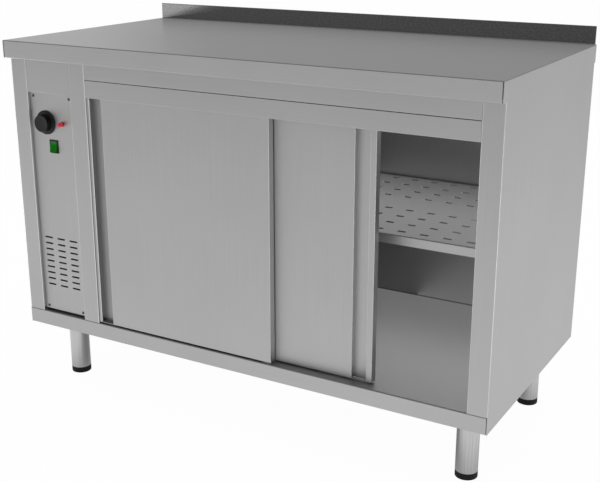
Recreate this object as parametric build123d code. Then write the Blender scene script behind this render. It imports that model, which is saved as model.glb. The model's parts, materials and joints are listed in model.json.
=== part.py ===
from build123d import *
import os

os.makedirs("parts", exist_ok=True)

# Hot food table: heated cupboard with sliding doors under a stainless worktop.
# Millimetres, X to the right, Y to the back, Z up, origin on the floor below the middle of the worktop.

# Worktop
WIDTH = 1200.0
DEPTH = 600.0
HEIGHT = 850.0
LIP = 40.0
UPSTAND = 40.0
UPSTAND_T = 3.0
UPSTAND_HEM = 1.4
OVERHANG = 20.0
TOP_SHEET = 1.2
TOP_BEND = 2.0
TOP_CORNER = 1.0
LIP_RETURN = 12.0

# Cabinet shell
SHEET = 1.0
BEND = 2.0
CREASE = 0.0
SIDE_POST = 44.0
REAR_FLANGE = 25.0
DOOR_RETURN = 2.8
BACK_SET = 18.8
BASE_CLEAR = 152.0
BASE_LIP = 38.0
TRAY_SHEET = 1.2
TRAY_BEND = 2.5
TRAY_RETURN = 14.0
TRAY_RELIEF = 1.5

# Control compartment
CONTROL_W = 129.3
MID_POST = 45.5
PANEL_SET = 8.0
PANEL_T = 1.2
PANEL_GAP = 5.5
PANEL_TUCK = 12.0
PANEL_PLAY = 0.4
CARRIER = 13.5
PANEL_LEDGE = 18.0
LEDGE_SET = 14.0
PARTITION_SET = 10.0
PARTITION_FLANGE = 21.0

# Front rails
RAIL_SET = 1.0
RAIL_BEND = 1.5
RAIL_DROP = 37.5
HEADER_H = 40.2
RAIL_FLANGE = 62.0
RAIL_TOP_FLANGE = 22.0
RAIL_PLAY = 0.3

# Doors
DOOR_T = 17.8
DOOR_SET = 3.2
DOOR_PITCH = 20.0
DOOR_GAP = 3.5
DOOR_RISE = 7.7
DOOR_TUCK = 6.0
DOOR_OVERLAP = 27.0
DOOR_OPEN = 225.3
DOOR_BEND = 1.8
GRIP_EDGE = 14.0
GRIP_W = 33.0
GRIP_DEPTH = 14.0

# Door running gear
TRACK_SHEET = 1.0
TRACK_FRONT = 3.8
TRACK_LEDGE = 9.2
TRACK_LIP = 3.0
TRACK_FLANGE = 10.0
TRACK_END = 2.0
LEDGE_ABOVE_DOOR = 10.0
ROLLER_R = 8.7
ROLLER_W = 5.0
ROLLER_GAP = 0.3
ROLLER_FRONT = 5.5
ROLLER_SIDE = 0.2
PIN_R = 3.0
PIN_FIT = 0.05
PIN_NUT_R = 5.0
PIN_NUT_T = 0.8
HANGER_T = 2.0
HANGER_W = 34.0
HANGER_INSET = 66.0
HANGER_FRONT = 1.0
HANGER_FOOT = 14.0
HANGER_CROWN = 7.0
GUIDE_FIN = 3.6
GUIDE_PLAY = 0.4
GUIDE_H = 6.5
GUIDE_CLEAR = 0.5
GUIDE_FRONT = 6.4
GUIDE_BASE = 1.5
GUIDE_W = 20.0
GROOVE_END = 1.2

# Shelf
SHELF_RISE = 310.0
SHELF_DEPTH = 464.0
SHELF_FLANGE = 20.0
SHELF_PLAY = 1.3
HOLE_W = 18.0
HOLE_D = 9.5
HOLE_PITCH = 51.0
HOLE_EDGE = 25.0
BEARER_LEG = 18.0
BEARER_END = 15.0
SHELF_HAT_W = 40.0
SHELF_HAT_H = 14.0

# Hat stiffeners
HAT_W = 50.0
HAT_H = 24.0
HAT_FLANGE = 15.0
HAT_END = 3.0

# Legs
LEG_R = 24.15
LEG_WALL = 1.5
LEG_INSET_X = 70.0
LEG_INSET_Y = 90.0
FOOT_H = 15.0
FOOT_PLUG = 45.0
FOOT_FIT = 0.1
CHANNEL_W = 80.0
CHANNEL_H = 26.0
CHANNEL_T = 2.0
CHANNEL_END = 2.0

# Controls
CONTROL_DROP = 69.2
SWITCH_DROP = 124.3
KNOB_SIDE = -20.0
LAMP_SIDE = 29.0
KNOB_R = 28.0
KNOB_FACE_R = 20.0
KNOB_SKIRT = 3.0
KNOB_DEPTH = 18.5
KNOB_GAP = 0.6
KNOB_EDGE = 1.2
SPINDLE_R = 3.0
SPINDLE_IN = 20.0
SPINDLE_HOLE = 4.6
STAT_W = 42.0
STAT_H = 36.0
STAT_D = 30.0
LENS_R = 5.0
LENS_L = 13.5
LENS_EDGE = 1.6
BEZEL_R = 5.8
BEZEL_T = 1.0
LAMP_BODY_R = 5.0
LAMP_BODY_L = 24.0
LAMP_PLAY = 0.3
ROCKER_W = 25.0
ROCKER_H = 31.0
ROCKER_RIM = 2.3
ROCKER_PROUD = 2.0
ROCKER_BODY = 28.0
ROCKER_POCKET = 14.0
ROCKER_WALL = 1.2
KEY_PLAY = 0.7
KEY_PROUD = 3.0
KEY_DIP = 1.4
KEY_BACK = 6.0
KEY_TAPER = 4.0
KEY_TILT = 9.0
KEY_PIVOT = 2.0
KEY_PIN_R = 1.3
KEY_PIN_L = 1.4
KEY_SOCKET_R = 1.6
VENT_L = 23.0
VENT_H = 4.0
VENT_COLUMNS = 3
VENT_ROWS = 9
VENT_PITCH_X = 38.3
VENT_PITCH_Z = 15.0
VENT_RISE = 70.8

# Air heating
BAFFLE_D = 31.0
BAFFLE_FRONT = 90.0
BAFFLE_BACK = 9.0
BAFFLE_RISE = 30.0
BAFFLE_DROP = 50.0
FAN_RISE = 465.0
FAN_R = 52.0
FAN_BLADES = 8
FAN_W = 18.0
FAN_GAP = 3.0
FAN_PLATE = 1.5
FAN_EYE = 14.0
BLADE_T = 1.2
SHAFT_R = 4.0
SHAFT_FIT = 0.08
SHAFT_HOLE = 7.0
INTAKE_R = 48.0
INTAKE_SLOT = 8.0
INTAKE_PITCH = 14.0
OUTLET_L = 60.0
OUTLET_H = 8.0
OUTLET_PITCH = 80.0
OUTLETS = 5
OUTLET_IN = 22.0
STACK_W = 62.0
STACK_H = 72.0
STACK_T = 20.0
STACK_OFF = 13.0
STACK_LIMB = 16.0
STACK_TOP = 23.0
COIL_W = 34.0
COIL_L = 24.0
COIL_H = 30.0
BRACKET_T = 2.5
BRACKET_H = 24.0
POST_W = 6.0
STRIP_L = 300.0
STRIP_W = 40.0
STRIP_T = 6.0
STRIP_DROP = 70.0
FIN_W = 54.0
FIN_D = 24.0
FIN_T = 0.8
FIN_PITCH = 30.0
TERMINAL_R = 3.0
TERMINAL_L = 34.0
TERMINAL_IN = 12.0
CERAMIC_R = 6.0
CERAMIC_L = 7.0
CERAMIC_PLAY = 0.1

# Temperature probe
CAPILLARY_R = 0.8
BULB_R = 3.0
BULB_L = 80.0
BULB_OUT = 30.0
PROBE_RISE = 550.0
PROBE_FRONT = 150.0
PROBE_OFF = 8.0
PROBE_HOLE = 2.0

# Mains connection
GLAND_SIDE = 98.8
GLAND_RISE = 50.0
GLAND_R = 10.0
GLAND_PLAY = 0.2
GLAND_BORE = 5.0
GLAND_NUT_R = 13.0
GLAND_NUT_T = 5.0
GLAND_DOME = 10.0
GLAND_TAIL = 9.0
BLOCK_W = 72.0
BLOCK_D = 22.0
BLOCK_H = 18.0
BLOCK_WAYS = 4
BLOCK_PITCH = 18.0
BLOCK_WELL_W = 7.0
BLOCK_WELL = 6.0
BLOCK_SIDE = 98.8
BLOCK_FRONT = 400.0

# Places worked out from the sizes
top_x = WIDTH / 2
top_front = -DEPTH / 2
top_back = DEPTH / 2
top_under = HEIGHT - TOP_SHEET
side_top = HEIGHT - TOP_BEND
lip_z = HEIGHT - LIP
body_x = top_x - TOP_SHEET
body_front = top_front + OVERHANG
body_back = top_back - TOP_SHEET
wall_x = body_x - SHEET
floor_z = BASE_CLEAR + BASE_LIP
tray_under = floor_z - TRAY_SHEET
back_y = body_back - SHEET - BACK_SET

post_x = body_x - SIDE_POST
mid_left = -post_x + CONTROL_W
mid_right = mid_left + MID_POST
chamber_x = mid_right - PARTITION_SET
panel_y = body_front + PANEL_SET
panel_back = panel_y + PANEL_T
panel_mid = (mid_left - post_x) / 2

rail_z = lip_z - RAIL_DROP
header_z = rail_z - HEADER_H
door_z0 = floor_z + DOOR_GAP
door_z1 = header_z + DOOR_RISE
door_w = (post_x - mid_right + 2 * DOOR_TUCK + DOOR_OVERLAP) / 2
left_x0 = mid_right - DOOR_TUCK
left_x1 = left_x0 + door_w
right_x1 = post_x + DOOR_TUCK - DOOR_OPEN
right_x0 = right_x1 - door_w
front_door_y = body_front + DOOR_SET
rear_door_y = front_door_y + DOOR_PITCH

baffle_x = chamber_x + BAFFLE_D
shelf_z = floor_z + SHELF_RISE
fan_z = floor_z + FAN_RISE
fan_y = (back_y - BAFFLE_BACK + body_front + BAFFLE_FRONT) / 2
control_z = header_z - CONTROL_DROP
switch_z = header_z - SWITCH_DROP
leg_x = body_x - LEG_INSET_X
leg_ys = (body_front + LEG_INSET_Y, body_back - LEG_INSET_Y)
leg_top = tray_under - CHANNEL_T
panel_z0 = floor_z + PANEL_GAP
panel_cut = (panel_y - PANEL_T, panel_back + PANEL_T)
carrier_cut = (panel_back, panel_back + 2 * BEND)
post_cut = (body_front - BEND, panel_back + 2 * BEND)

ROUND_SIDES = 24
LOW = (Align.CENTER, Align.CENTER, Align.MIN)
FRONT = (Align.CENTER, Align.MIN, Align.CENTER)
ALONG_Y = Plane((0, 0, 0), x_dir=(1, 0, 0), z_dir=(0, -1, 0))


def block(x0, x1, y0, y1, z0, z1):
    """Rectangular solid between two corners."""
    return Pos(x0, y0, z0) * Box(x1 - x0, y1 - y0, z1 - z0, align=(Align.MIN, Align.MIN, Align.MIN))


def bent(points, thickness, radius, side):
    """Section of a sheet bent along the line of its outer face, with a radius for all bends or for each."""
    return make_face(offset(FilletPolyline(*points, radius=radius), amount=thickness, side=side))


def folded(points, thickness, side):
    """Section of a sheet folded sharply along the line of its outer face."""
    return make_face(offset(Polyline(*points), amount=thickness, side=side, kind=Kind.INTERSECTION))


def hexagon(radius, u, v):
    """Hexagon about a point of its drawing plane, for hidden bars and small holes."""
    return Pos(u, v) * RegularPolygon(radius, 6)


def disc(radius, u, v):
    """Many-sided round about a point of its drawing plane, for small turned pieces."""
    return Pos(u, v) * RegularPolygon(radius, ROUND_SIDES)


def run_x(section, x0, x1):
    """Section drawn in (Y, Z), run along X."""
    return extrude(Plane.YZ.offset(x0) * section, amount=x1 - x0)


def run_y(section, y0, y1):
    """Section drawn in (X, Z), run along Y."""
    return extrude(ALONG_Y.offset(-y1) * section, amount=y1 - y0)


def run_z(section, z0, z1):
    """Section drawn in (X, Y), run along Z."""
    return extrude(Plane.XY.offset(z0) * section, amount=z1 - z0)


def rod_y(radius, y0, y1, x, z):
    """Round bar along Y."""
    return Pos(x, y0, z) * Rot(-90, 0, 0) * Cylinder(radius, y1 - y0, align=LOW)


def rod_z(radius, z0, z1, x, y):
    """Round bar along Z."""
    return Pos(x, y, z0) * Cylinder(radius, z1 - z0, align=LOW)


def pan(width, height, depth, thickness, radius=0.0):
    """Shallow folded pan: its face lies on the XY plane and its flanges stand up along +Z."""
    outer = Box(width, height, depth, align=LOW)
    inner = Box(width - 2 * thickness, height - 2 * thickness, depth, align=LOW)
    if radius > thickness:
        outer = fillet(outer.faces().sort_by(Axis.Z)[0].edges(), radius)
        inner = fillet(inner.faces().sort_by(Axis.Z)[0].edges(), radius - thickness)
    return outer - Pos(0, 0, thickness) * inner


def facing_right(shape, x, y, z):
    """Pan turned so that its face looks along +X."""
    return Pos(x, y, z) * Rot(0, -90, 0) * shape


def hat(middle, top, width, height, flange, thickness):
    """Section of a hat stiffener hung below a plate at the given height."""
    half = width / 2
    line = [
        (middle - half - flange, top),
        (middle - half, top),
        (middle - half, top - height),
        (middle + half, top - height),
        (middle + half, top),
        (middle + half + flange, top),
    ]
    return folded(line, thickness, Side.RIGHT)


def save(name, *solids):
    """Write one piece, or one set of like pieces."""
    shape = solids[0] if len(solids) == 1 else Compound(children=list(solids))
    export_step(shape, f"parts/{name}.step")


# Worktop: one sheet folded as front lip with its return, top, upstand and rear lip, and a lip at each end
edge_x = top_x - TOP_BEND - TOP_CORNER
up_front = top_back - UPSTAND_T
up_top = HEIGHT + UPSTAND
worktop = run_x(
    bent(
        [
            (top_front + LIP_RETURN, lip_z),
            (top_front, lip_z),
            (top_front, HEIGHT),
            (up_front, HEIGHT),
            (up_front, up_top),
            (top_back, up_top),
            (top_back, lip_z),
        ],
        TOP_SHEET, [TOP_BEND, TOP_BEND, CREASE, UPSTAND_HEM, UPSTAND_HEM], Side.RIGHT,
    ),
    -edge_x, edge_x,
)
end_lip = run_y(
    bent([(edge_x, HEIGHT), (top_x, HEIGHT), (top_x, lip_z)], TOP_SHEET, TOP_BEND, Side.RIGHT),
    top_front, top_back,
)
worktop = worktop + end_lip + mirror(end_lip, Plane.YZ)
save("worktop", worktop)

# Hat stiffeners under the worktop, front to back across the cupboard
hat_y0 = body_front + RAIL_TOP_FLANGE + HAT_END
hat_y1 = back_y - HAT_END
hat_step = (wall_x - chamber_x) / 4
for place, name in enumerate(("left", "middle", "right"), start=1):
    section = hat(chamber_x + place * hat_step, top_under, HAT_W, HAT_H, HAT_FLANGE, SHEET)
    save(f"worktop_stiffener_{name}", run_y(section, hat_y0, hat_y1))

# Side panels: rear flange, side and front post in one sheet, with the post cut away above the base tray,
# and the left post's carrier for the control panel cut away below that panel
left_line = [
    (-body_x + REAR_FLANGE, body_back),
    (-body_x, body_back),
    (-body_x, body_front),
    (-post_x, body_front),
    (-post_x, panel_back),
    (-post_x + CARRIER, panel_back),
]
left_bends = [BEND, BEND, BEND, PANEL_PLAY]
left_side = run_z(bent(left_line, SHEET, left_bends, Side.LEFT), BASE_CLEAR, side_top)
left_side -= block(-body_x, -post_x + 2 * CARRIER, *post_cut, 0, floor_z)
left_side -= block(-post_x, -post_x + 2 * CARRIER, *carrier_cut, 0, panel_z0)
left_side += block(-body_x, -wall_x, body_front, post_cut[1], BASE_CLEAR, floor_z)
save("left_side_panel", left_side)

right_line = [
    (body_x - REAR_FLANGE, body_back),
    (body_x, body_back),
    (body_x, body_front),
    (post_x, body_front),
    (post_x, body_front + DOOR_RETURN),
]
right_side = run_z(bent(right_line, SHEET, BEND, Side.RIGHT), BASE_CLEAR, side_top)
right_side -= block(post_x - BEND, body_x, *post_cut, 0, floor_z)
right_side += block(wall_x, body_x, body_front, post_cut[1], BASE_CLEAR, floor_z)
save("right_side_panel", right_side)

# Base tray: cupboard floor with two lips folded in at the bottom, relieved and capped at the front right
tray_inner = body_front + TRAY_RETURN
tray_back = body_back - BEND
tray_line = [
    (tray_inner, BASE_CLEAR),
    (body_front, BASE_CLEAR),
    (body_front, floor_z),
    (tray_back, floor_z),
    (tray_back, BASE_CLEAR),
    (tray_back - TRAY_RETURN, BASE_CLEAR),
]
tray_bends = [TRAY_BEND, TRAY_BEND, CREASE, CREASE]
tray = run_x(bent(tray_line, TRAY_SHEET, tray_bends, Side.RIGHT), -wall_x, wall_x)
tray_end = wall_x - TRAY_RELIEF
tray -= block(tray_end, wall_x, body_front - BEND, tray_inner, BASE_CLEAR - BEND, floor_z)
lip_middle = Pos((body_front + tray_inner) / 2, BASE_CLEAR + BASE_LIP / 2)
lip_cap = lip_middle * RectangleRounded(TRAY_RETURN, BASE_LIP, TRAY_BEND)
tray += run_x(lip_cap, tray_end - TRAY_SHEET, tray_end)
save("base_tray", tray)

# Back panel: shallow pan between the side panels, with the cable gland's hole
gland_x = -wall_x + GLAND_SIDE
gland_z = floor_z + GLAND_RISE
back = pan(2 * wall_x, top_under - floor_z, BACK_SET - BEND, SHEET, BEND)
back = Pos(0, back_y, (top_under + floor_z) / 2) * Rot(-90, 0, 0) * back
back -= run_y(hexagon(GLAND_R + GLAND_PLAY, gland_x, gland_z), back_y - SHEET, back_y + 2 * SHEET)
save("back_panel", back)

# Middle post between the control compartment and the doors
mid_line = [
    (mid_left - CARRIER, panel_back),
    (mid_left, panel_back),
    (mid_left, body_front),
    (mid_right, body_front),
    (mid_right, body_front + DOOR_RETURN),
]
mid_bends = [PANEL_PLAY, BEND, BEND]
middle_post = run_z(bent(mid_line, SHEET, mid_bends, Side.LEFT), floor_z, top_under)
middle_post -= block(mid_left - 2 * CARRIER, mid_left, *carrier_cut, 0, panel_z0)
save("middle_post", middle_post)

# Partition wall: pan facing the cupboard, with holes for fan shaft, heater terminals and probe
strip_z1 = fan_z - FAN_R - STRIP_DROP
strip_z0 = strip_z1 - STRIP_L
terminal_zs = (strip_z0 + TERMINAL_IN, strip_z1 - TERMINAL_IN)
probe_y = body_front + PROBE_FRONT
probe_z = floor_z + PROBE_RISE
partition_front = body_front + SHEET
partition = pan(top_under - floor_z, back_y - partition_front, PARTITION_FLANGE, SHEET)
partition = facing_right(partition, chamber_x, (back_y + partition_front) / 2, (top_under + floor_z) / 2)
wall_cut = (chamber_x - 2 * SHEET, chamber_x + SHEET)
partition -= run_x(hexagon(SHAFT_HOLE, fan_y, fan_z), *wall_cut)
partition -= run_x(hexagon(PROBE_HOLE, probe_y, probe_z), *wall_cut)
for terminal_z in terminal_zs:
    partition -= run_x(hexagon(CERAMIC_R + CERAMIC_PLAY, fan_y, terminal_z), *wall_cut)
save("partition_wall", partition)

# Top rail and door header, two folded profiles that meet at a shadow gap above the doors
rail_front = body_front + RAIL_SET
rail_x0 = mid_right + RAIL_PLAY
rail_x1 = post_x - RAIL_PLAY
flange_y = body_front + RAIL_FLANGE
rail_line = [
    (body_front + RAIL_TOP_FLANGE, top_under),
    (rail_front, top_under),
    (rail_front, rail_z),
    (flange_y, rail_z),
]
save("top_rail", run_x(bent(rail_line, SHEET, [CREASE, RAIL_BEND], Side.LEFT), rail_x0, rail_x1))
header_line = [
    (flange_y, rail_z),
    (rail_front, rail_z),
    (rail_front, header_z),
    (body_front + DOOR_RETURN, header_z),
]
save("door_header", run_x(bent(header_line, SHEET, RAIL_BEND, Side.LEFT), rail_x0, rail_x1))

# Control header: cover plate above the control panel
cover_line = [
    (panel_y, top_under),
    (rail_front, top_under),
    (rail_front, header_z),
    (panel_y, header_z),
]
cover_x0 = -post_x + RAIL_PLAY
cover_x1 = mid_left - RAIL_PLAY
save("control_header", run_x(bent(cover_line, SHEET, [CREASE, RAIL_BEND], Side.LEFT), cover_x0, cover_x1))

# Control panel with its vent slots and the holes of the controls
knob_x = panel_mid + KNOB_SIDE
lamp_x = panel_mid + LAMP_SIDE
panel_z1 = header_z + PANEL_TUCK
panel_x0 = -post_x + PANEL_PLAY
panel_x1 = mid_left - PANEL_PLAY
rocker_in_w = ROCKER_W - 2 * ROCKER_RIM
rocker_in_h = ROCKER_H - 2 * ROCKER_RIM
rocker_body_w = rocker_in_w + 2 * ROCKER_WALL
rocker_body_h = rocker_in_h + 2 * ROCKER_WALL
control_panel = block(panel_x0, panel_x1, panel_y, panel_back, panel_z0, panel_z1)
for column in range(VENT_COLUMNS):
    vent_x = panel_mid + (column - (VENT_COLUMNS - 1) / 2) * VENT_PITCH_X
    for row in range(VENT_ROWS):
        vent_z = floor_z + VENT_RISE + row * VENT_PITCH_Z
        control_panel -= block(
            vent_x - VENT_L / 2, vent_x + VENT_L / 2, *panel_cut, vent_z - VENT_H / 2, vent_z + VENT_H / 2
        )
control_panel -= run_y(hexagon(SPINDLE_HOLE, knob_x, control_z), *panel_cut)
control_panel -= run_y(hexagon(LAMP_BODY_R + LAMP_PLAY, lamp_x, control_z), *panel_cut)
control_panel -= block(
    panel_mid - rocker_body_w / 2 - PANEL_PLAY, panel_mid + rocker_body_w / 2 + PANEL_PLAY, *panel_cut,
    switch_z - rocker_body_h / 2 - PANEL_PLAY, switch_z + rocker_body_h / 2 + PANEL_PLAY,
)
save("control_panel", control_panel)

# Panel ledge: angle on the tray that closes the gap behind the control panel's bottom edge
ledge_y = panel_back + LEDGE_SET
ledge_line = [
    (ledge_y + PANEL_LEDGE, floor_z),
    (ledge_y, floor_z),
    (ledge_y, floor_z + PANEL_LEDGE),
]
ledge_x0 = -wall_x + PANEL_PLAY
ledge_x1 = chamber_x - PARTITION_FLANGE - PANEL_PLAY
save("panel_ledge", run_x(folded(ledge_line, SHEET, Side.RIGHT), ledge_x0, ledge_x1))

# Thermostat: body behind the panel, and the knob on its turning spindle
stat_y = panel_back + STAT_D
stat = Pos(knob_x, panel_back, control_z) * Box(STAT_W, STAT_D, STAT_H, align=FRONT)
stat -= run_y(disc(SPINDLE_R + PIN_FIT, knob_x, control_z), panel_back, panel_back + SPINDLE_IN + PIN_FIT)
save("thermostat_body", stat)
knob_back = panel_y - KNOB_GAP
skirt_y = knob_back - KNOB_SKIRT
grip = run_y(disc(KNOB_FACE_R, knob_x, control_z), panel_y - KNOB_DEPTH, skirt_y)
knob = chamfer(grip.faces().sort_by(Axis.Y)[0].edges(), KNOB_EDGE)
knob += run_y(disc(KNOB_R, knob_x, control_z), skirt_y, knob_back)
knob += run_y(disc(SPINDLE_R, knob_x, control_z), knob_back, panel_back + SPINDLE_IN)
save("thermostat_knob", knob)

# Temperature probe: capillary from the thermostat through the partition to the bulb in the air duct
probe_x = chamber_x + PROBE_OFF
bulb_y = probe_y + BULB_OUT
probe_line = Polyline(
    (knob_x, stat_y, control_z),
    (knob_x, probe_y, control_z),
    (knob_x, probe_y, probe_z),
    (probe_x, probe_y, probe_z),
    (probe_x, bulb_y, probe_z),
)
probe_start = Plane((knob_x, stat_y, control_z), z_dir=(0, 1, 0))
capillary = sweep(probe_start * RegularPolygon(CAPILLARY_R, 6), path=probe_line, transition=Transition.RIGHT)
save("thermostat_bulb", capillary + run_y(hexagon(BULB_R, probe_x, probe_z), bulb_y, bulb_y + BULB_L))

# Pilot lamp: body with its bezel, and the lens on it
lamp = run_y(disc(BEZEL_R, lamp_x, control_z), panel_y - BEZEL_T, panel_y)
lamp += run_y(hexagon(LAMP_BODY_R, lamp_x, control_z), panel_y, panel_back + LAMP_BODY_L)
save("pilot_lamp_body", lamp)
lens = run_y(disc(LENS_R, lamp_x, control_z), panel_y - LENS_L, panel_y - BEZEL_T)
save("pilot_lamp_lens", chamfer(lens.faces().sort_by(Axis.Y)[0].edges(), LENS_EDGE))

# Rocker switch: housing with a pocket, and the key on two pins
rim_y = panel_y - ROCKER_PROUD
pivot_y = rim_y + KEY_PIVOT
pocket_x = rocker_in_w / 2
housing = Pos(panel_mid, rim_y, switch_z) * Box(ROCKER_W, ROCKER_PROUD, ROCKER_H, align=FRONT)
housing += Pos(panel_mid, panel_y, switch_z) * Box(rocker_body_w, ROCKER_BODY, rocker_body_h, align=FRONT)
housing -= Pos(panel_mid, rim_y, switch_z) * Box(rocker_in_w, ROCKER_POCKET, rocker_in_h, align=FRONT)
key_h = rocker_in_h / 2 - KEY_PLAY
key_x = pocket_x - KEY_PLAY
key_outline = Polyline(
    (-KEY_PROUD, key_h),
    (KEY_DIP - KEY_PROUD, 0),
    (-KEY_PROUD, -key_h),
    (KEY_BACK, KEY_TAPER - key_h),
    (KEY_BACK, key_h - KEY_TAPER),
    close=True,
)
key = run_x(Pos(-KEY_PIVOT, 0) * make_face(key_outline), -key_x, key_x)
for turn in (-90, 90):
    end = Rot(0, turn, 0) * Pos(0, 0, key_x)
    key += end * extrude(hexagon(KEY_PIN_R, 0, 0), amount=KEY_PIN_L)
    socket = end * extrude(hexagon(KEY_SOCKET_R, 0, 0), amount=KEY_PIN_L + PIN_FIT)
    housing -= Pos(panel_mid, pivot_y, switch_z) * socket
save("rocker_switch_housing", housing)
save("rocker_key", Pos(panel_mid, pivot_y, switch_z) * Rot(-KEY_TILT, 0, 0) * key)

# Door tracks, hung from the header flange: ledge with a low front lip
ledge_z = door_z1 + LEDGE_ABOVE_DOOR
hang_z = rail_z - SHEET
for name, door_y in (("front", front_door_y), ("rear", rear_door_y)):
    lip_y = door_y + TRACK_FRONT
    web_y = lip_y + TRACK_LEDGE
    track_line = [
        (lip_y, ledge_z + TRACK_LIP - TRACK_SHEET),
        (lip_y, ledge_z - TRACK_SHEET),
        (web_y, ledge_z - TRACK_SHEET),
        (web_y, hang_z - TRACK_SHEET),
        (web_y + TRACK_FLANGE, hang_z - TRACK_SHEET),
    ]
    section = folded(track_line, TRACK_SHEET, Side.LEFT)
    save(f"{name}_door_track", run_x(section, mid_right + TRACK_END, post_x - TRACK_END))

# Doors with their running gear
roller_z = ledge_z + ROLLER_GAP + ROLLER_R
groove_y0 = GUIDE_FRONT - GUIDE_PLAY
groove_y1 = GUIDE_FRONT + GUIDE_FIN + GUIDE_PLAY
hanger_xs = (HANGER_INSET, door_w - HANGER_INSET)


def door_leaf():
    """Hollow door leaf from (0, 0): folded front with the grip channel, back skin, caps and guide groove."""
    grip_x0 = GRIP_EDGE
    grip_x1 = GRIP_EDGE + GRIP_W
    line = [
        (0, DOOR_T),
        (0, 0),
        (grip_x0, 0),
        (grip_x0, GRIP_DEPTH),
        (grip_x1, GRIP_DEPTH),
        (grip_x1, 0),
        (door_w, 0),
        (door_w, DOOR_T),
    ]
    bends = [DOOR_BEND, DOOR_BEND, CREASE, CREASE, DOOR_BEND, DOOR_BEND]
    leaf = run_z(bent(line, SHEET, bends, Side.LEFT), door_z0, door_z1)
    leaf += block(0, door_w, DOOR_T - SHEET, DOOR_T, door_z0, door_z1)
    cap = (DOOR_BEND, door_w - DOOR_BEND, 0, DOOR_T)
    leaf += block(*cap, door_z0, door_z0 + SHEET)
    leaf += block(*cap, door_z1 - SHEET, door_z1)
    groove_z = door_z0 + GUIDE_H + GUIDE_CLEAR
    leaf -= block(GROOVE_END, door_w - GROOVE_END, groove_y0, groove_y1, door_z0 - SHEET, groove_z)
    return leaf


def hanger():
    """Hanger about X = 0: foot on the door, upright, and the riveted roller pin with its two collars."""
    line = [
        (HANGER_FRONT + HANGER_FOOT, door_z1),
        (HANGER_FRONT, door_z1),
        (HANGER_FRONT, roller_z + HANGER_CROWN),
    ]
    upright_y = HANGER_FRONT + HANGER_T
    roller_y = ROLLER_FRONT + ROLLER_W + ROLLER_SIDE
    bracket = run_x(folded(line, HANGER_T, Side.RIGHT), -HANGER_W / 2, HANGER_W / 2)
    bracket += run_y(hexagon(PIN_NUT_R, 0, roller_z), upright_y, ROLLER_FRONT - ROLLER_SIDE)
    bracket += run_y(hexagon(PIN_R, 0, roller_z), upright_y, roller_y)
    return bracket + run_y(hexagon(PIN_NUT_R, 0, roller_z), roller_y, roller_y + PIN_NUT_T)


def roller():
    """Nylon door roller about X = 0."""
    wheel = disc(ROLLER_R, 0, roller_z) - disc(PIN_R + PIN_FIT, 0, roller_z)
    return run_y(wheel, ROLLER_FRONT, ROLLER_FRONT + ROLLER_W)


left_leaf = door_leaf()
right_leaf = Pos(door_w, 0, 0) * mirror(left_leaf, Plane.YZ)
for side, leaf, x0, door_y in (
    ("left", left_leaf, left_x0, front_door_y),
    ("right", right_leaf, right_x0, rear_door_y),
):
    place = Pos(x0, door_y, 0)
    save(f"{side}_door", place * leaf)
    for end, hanger_x in zip(("left", "right"), hanger_xs):
        spot = place * Pos(hanger_x, 0, 0)
        save(f"{side}_door_hanger_{end}", spot * hanger())
        save(f"{side}_door_roller_{end}", spot * roller())

# Floor guide: nylon block with a fin in the groove of each door
guide_mid = left_x1 - DOOR_OVERLAP / 2
guide_x = (guide_mid - GUIDE_W / 2, guide_mid + GUIDE_W / 2)
fin_top = door_z0 + GUIDE_H
guide_y = (front_door_y + GUIDE_FRONT, rear_door_y + GUIDE_FRONT + GUIDE_FIN)
guide = block(*guide_x, *guide_y, floor_z, floor_z + GUIDE_BASE)
for door_y in (front_door_y, rear_door_y):
    guide += block(*guide_x, door_y + GUIDE_FRONT, door_y + GUIDE_FRONT + GUIDE_FIN, floor_z, fin_top)
save("floor_guide", guide)

# Leg frames: channel under the tray with two tubes welded to it, and a foot whose plug runs in each tube
channel_z = tray_under - CHANNEL_H
channel_y = (body_front + TRAY_SHEET + CHANNEL_END, tray_back - TRAY_SHEET - CHANNEL_END)
leg_in = LEG_R - LEG_WALL
for side, sign in (("left", -1), ("right", 1)):
    middle = sign * leg_x
    channel_line = [
        (middle - CHANNEL_W / 2, channel_z),
        (middle - CHANNEL_W / 2, tray_under),
        (middle + CHANNEL_W / 2, tray_under),
        (middle + CHANNEL_W / 2, channel_z),
    ]
    frame = run_y(folded(channel_line, CHANNEL_T, Side.RIGHT), *channel_y)
    for depth, leg_y in zip(("front", "rear"), leg_ys):
        at = (middle, leg_y)
        frame += rod_z(LEG_R, FOOT_H, leg_top, *at) - rod_z(leg_in, FOOT_H, leg_top, *at)
        foot = run_z(disc(LEG_R, *at), 0, FOOT_H)
        foot += run_z(hexagon(leg_in - FOOT_FIT, *at), FOOT_H, FOOT_H + FOOT_PLUG)
        save(f"foot_{depth}_{side}", foot)
    save(f"{side}_leg_frame", frame)

# Air baffle: pan on the partition wall, with intake slots at the fan and outlets at the floor
baffle_y0 = body_front + BAFFLE_FRONT
baffle_y1 = back_y - BAFFLE_BACK
baffle_z0 = floor_z + BAFFLE_RISE
baffle_z1 = top_under - BAFFLE_DROP
baffle = pan(baffle_z1 - baffle_z0, baffle_y1 - baffle_y0, BAFFLE_D, SHEET)
baffle = facing_right(baffle, baffle_x, (baffle_y0 + baffle_y1) / 2, (baffle_z0 + baffle_z1) / 2)
intake_rows = int(INTAKE_R / INTAKE_PITCH)
for row in range(-intake_rows, intake_rows + 1):
    rise = row * INTAKE_PITCH
    half = (INTAKE_R**2 - rise**2) ** 0.5
    baffle -= Pos(baffle_x, fan_y, fan_z + rise) * Box(4 * SHEET, 2 * half, INTAKE_SLOT)
for column in range(OUTLETS):
    slot_y = fan_y + (column - (OUTLETS - 1) / 2) * OUTLET_PITCH
    baffle -= Pos(baffle_x, slot_y, baffle_z0 + OUTLET_IN) * Box(4 * SHEET, OUTLET_L, OUTLET_H)
save("air_baffle", baffle)

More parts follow.
